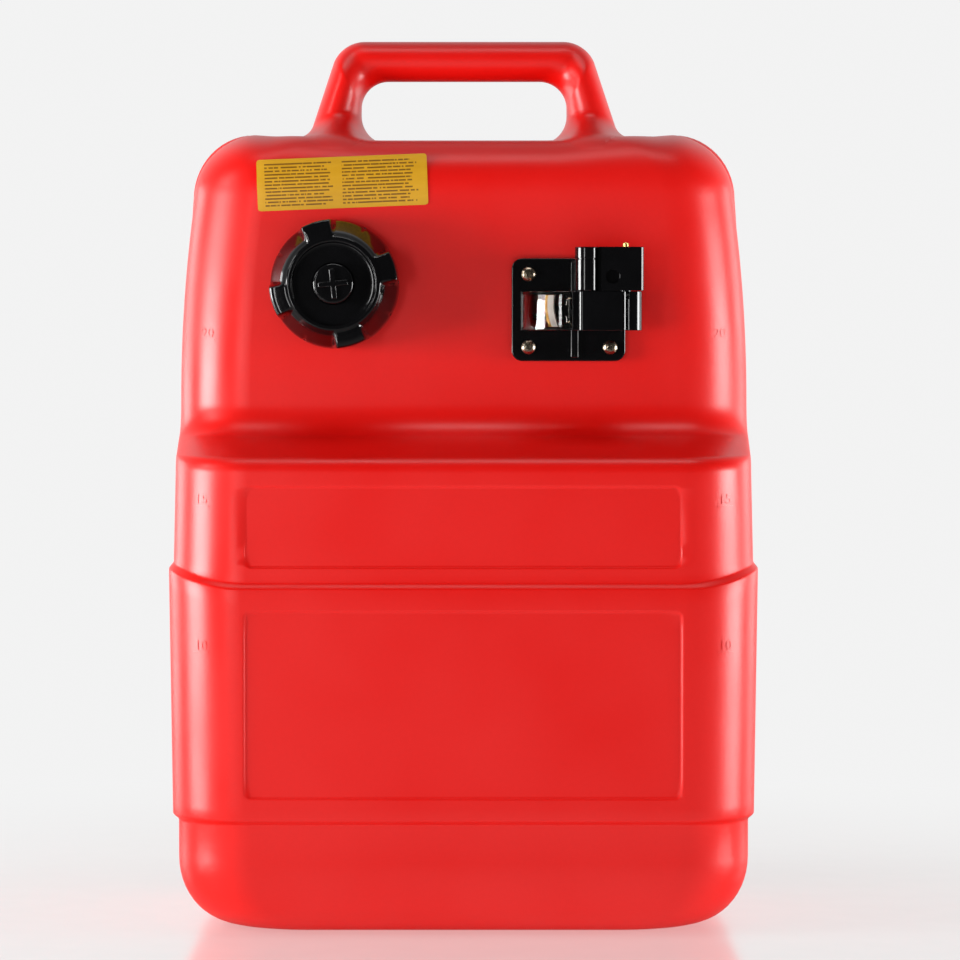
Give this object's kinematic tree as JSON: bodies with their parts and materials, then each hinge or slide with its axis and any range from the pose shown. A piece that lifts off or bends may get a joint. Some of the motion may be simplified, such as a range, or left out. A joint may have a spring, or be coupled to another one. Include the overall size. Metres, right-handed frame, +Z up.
{
  "type": "portable fuel tank",
  "caption": "Moulded portable fuel tank standing on its end, with a carry handle, a vented screw cap, a float level gauge with a sight lens, and a valved hose connector.",
  "frame": {"origin": "centre of the bounding box, on the surface that the tank stands on", "axes": "+Z up along the tank's length to the handle; -Y is the front, with the cap and the gauge; +X is right as seen from the front"},
  "size_m": [0.3352, 0.23, 0.5113],
  "materials": {
    "moulded_polyethylene": "smooth blow-moulded, slight sheen",
    "black_moulding": "glossy moulded",
    "nitrile_rubber": "matt",
    "clear_lens": "clear, polished",
    "white_flag": "smooth",
    "natural_tube": "smooth",
    "float_foam": "fine closed-cell foam",
    "plated_steel": "plated",
    "brass": "machined",
    "yellow_sticker": "printed film, slight sheen"
  },
  "bodies": {
    "tank": {"tank_shell": "moulded_polyethylene", "label": "yellow_sticker", "gauge_flange": "black_moulding", "flange_gasket": "nitrile_rubber", "flange_screw_1": "plated_steel", "flange_screw_2": "plated_steel", "flange_screw_3": "plated_steel", "flange_screw_4": "plated_steel", "sight_lens": "clear_lens", "lens_seal": "nitrile_rubber", "gauge_shaft": "plated_steel", "pickup_tube": "natural_tube", "pickup_strainer": "brass", "connector_body": "black_moulding", "connector_seal": "nitrile_rubber", "valve_spring": "plated_steel"},
    "cap_carrier": {"cap_gasket": "nitrile_rubber"},
    "cap": {"filler_cap": "black_moulding"},
    "vent_carrier": {"vent_seal": "nitrile_rubber"},
    "vent": {"vent_knob": "black_moulding"},
    "gauge": {"level_pointer": "white_flag", "float_arm": "plated_steel", "float": "float_foam", "float_clip": "plated_steel"},
    "valve": {"valve_pin": "brass", "valve_seal": "nitrile_rubber"}
  },
  "joints": [
    {"name": "cap_rise", "type": "slide", "parent": "tank", "child": "cap_carrier", "axis": [0, -1, 0], "range_m": [0, 0.03]},
    {"name": "cap_turn", "type": "hinge", "parent": "cap_carrier", "child": "cap", "pos_m": [-0.0736, -0.053, 0.3676], "axis": [0, -1, 0], "range_deg": [0, 1800]},
    {"name": "vent_rise", "type": "slide", "parent": "cap", "child": "vent_carrier", "axis": [0, -1, 0], "range_m": [0, 0.0015]},
    {"name": "vent_turn", "type": "hinge", "parent": "vent_carrier", "child": "vent", "pos_m": [-0.0736, -0.053, 0.3676], "axis": [0, -1, 0], "range_deg": [0, 360]},
    {"name": "gauge_swing", "type": "hinge", "parent": "tank", "child": "gauge", "pos_m": [0.061, -0.0563, 0.3523], "axis": [0, 0, 1], "range_deg": [-60, 0]},
    {"name": "valve_press", "type": "slide", "parent": "tank", "child": "valve", "axis": [0, 0, -1], "range_m": [0, 0.003], "stiffness_N_per_m": 500, "deforming": ["valve_spring"]}
  ],
  "couplings": [
    {"joint": "cap_rise", "follows": "cap_turn", "m_per_rad": 0.00095492},
    {"joint": "vent_turn", "follows": "vent_rise", "rad_per_m": 4188.8}
  ]
}
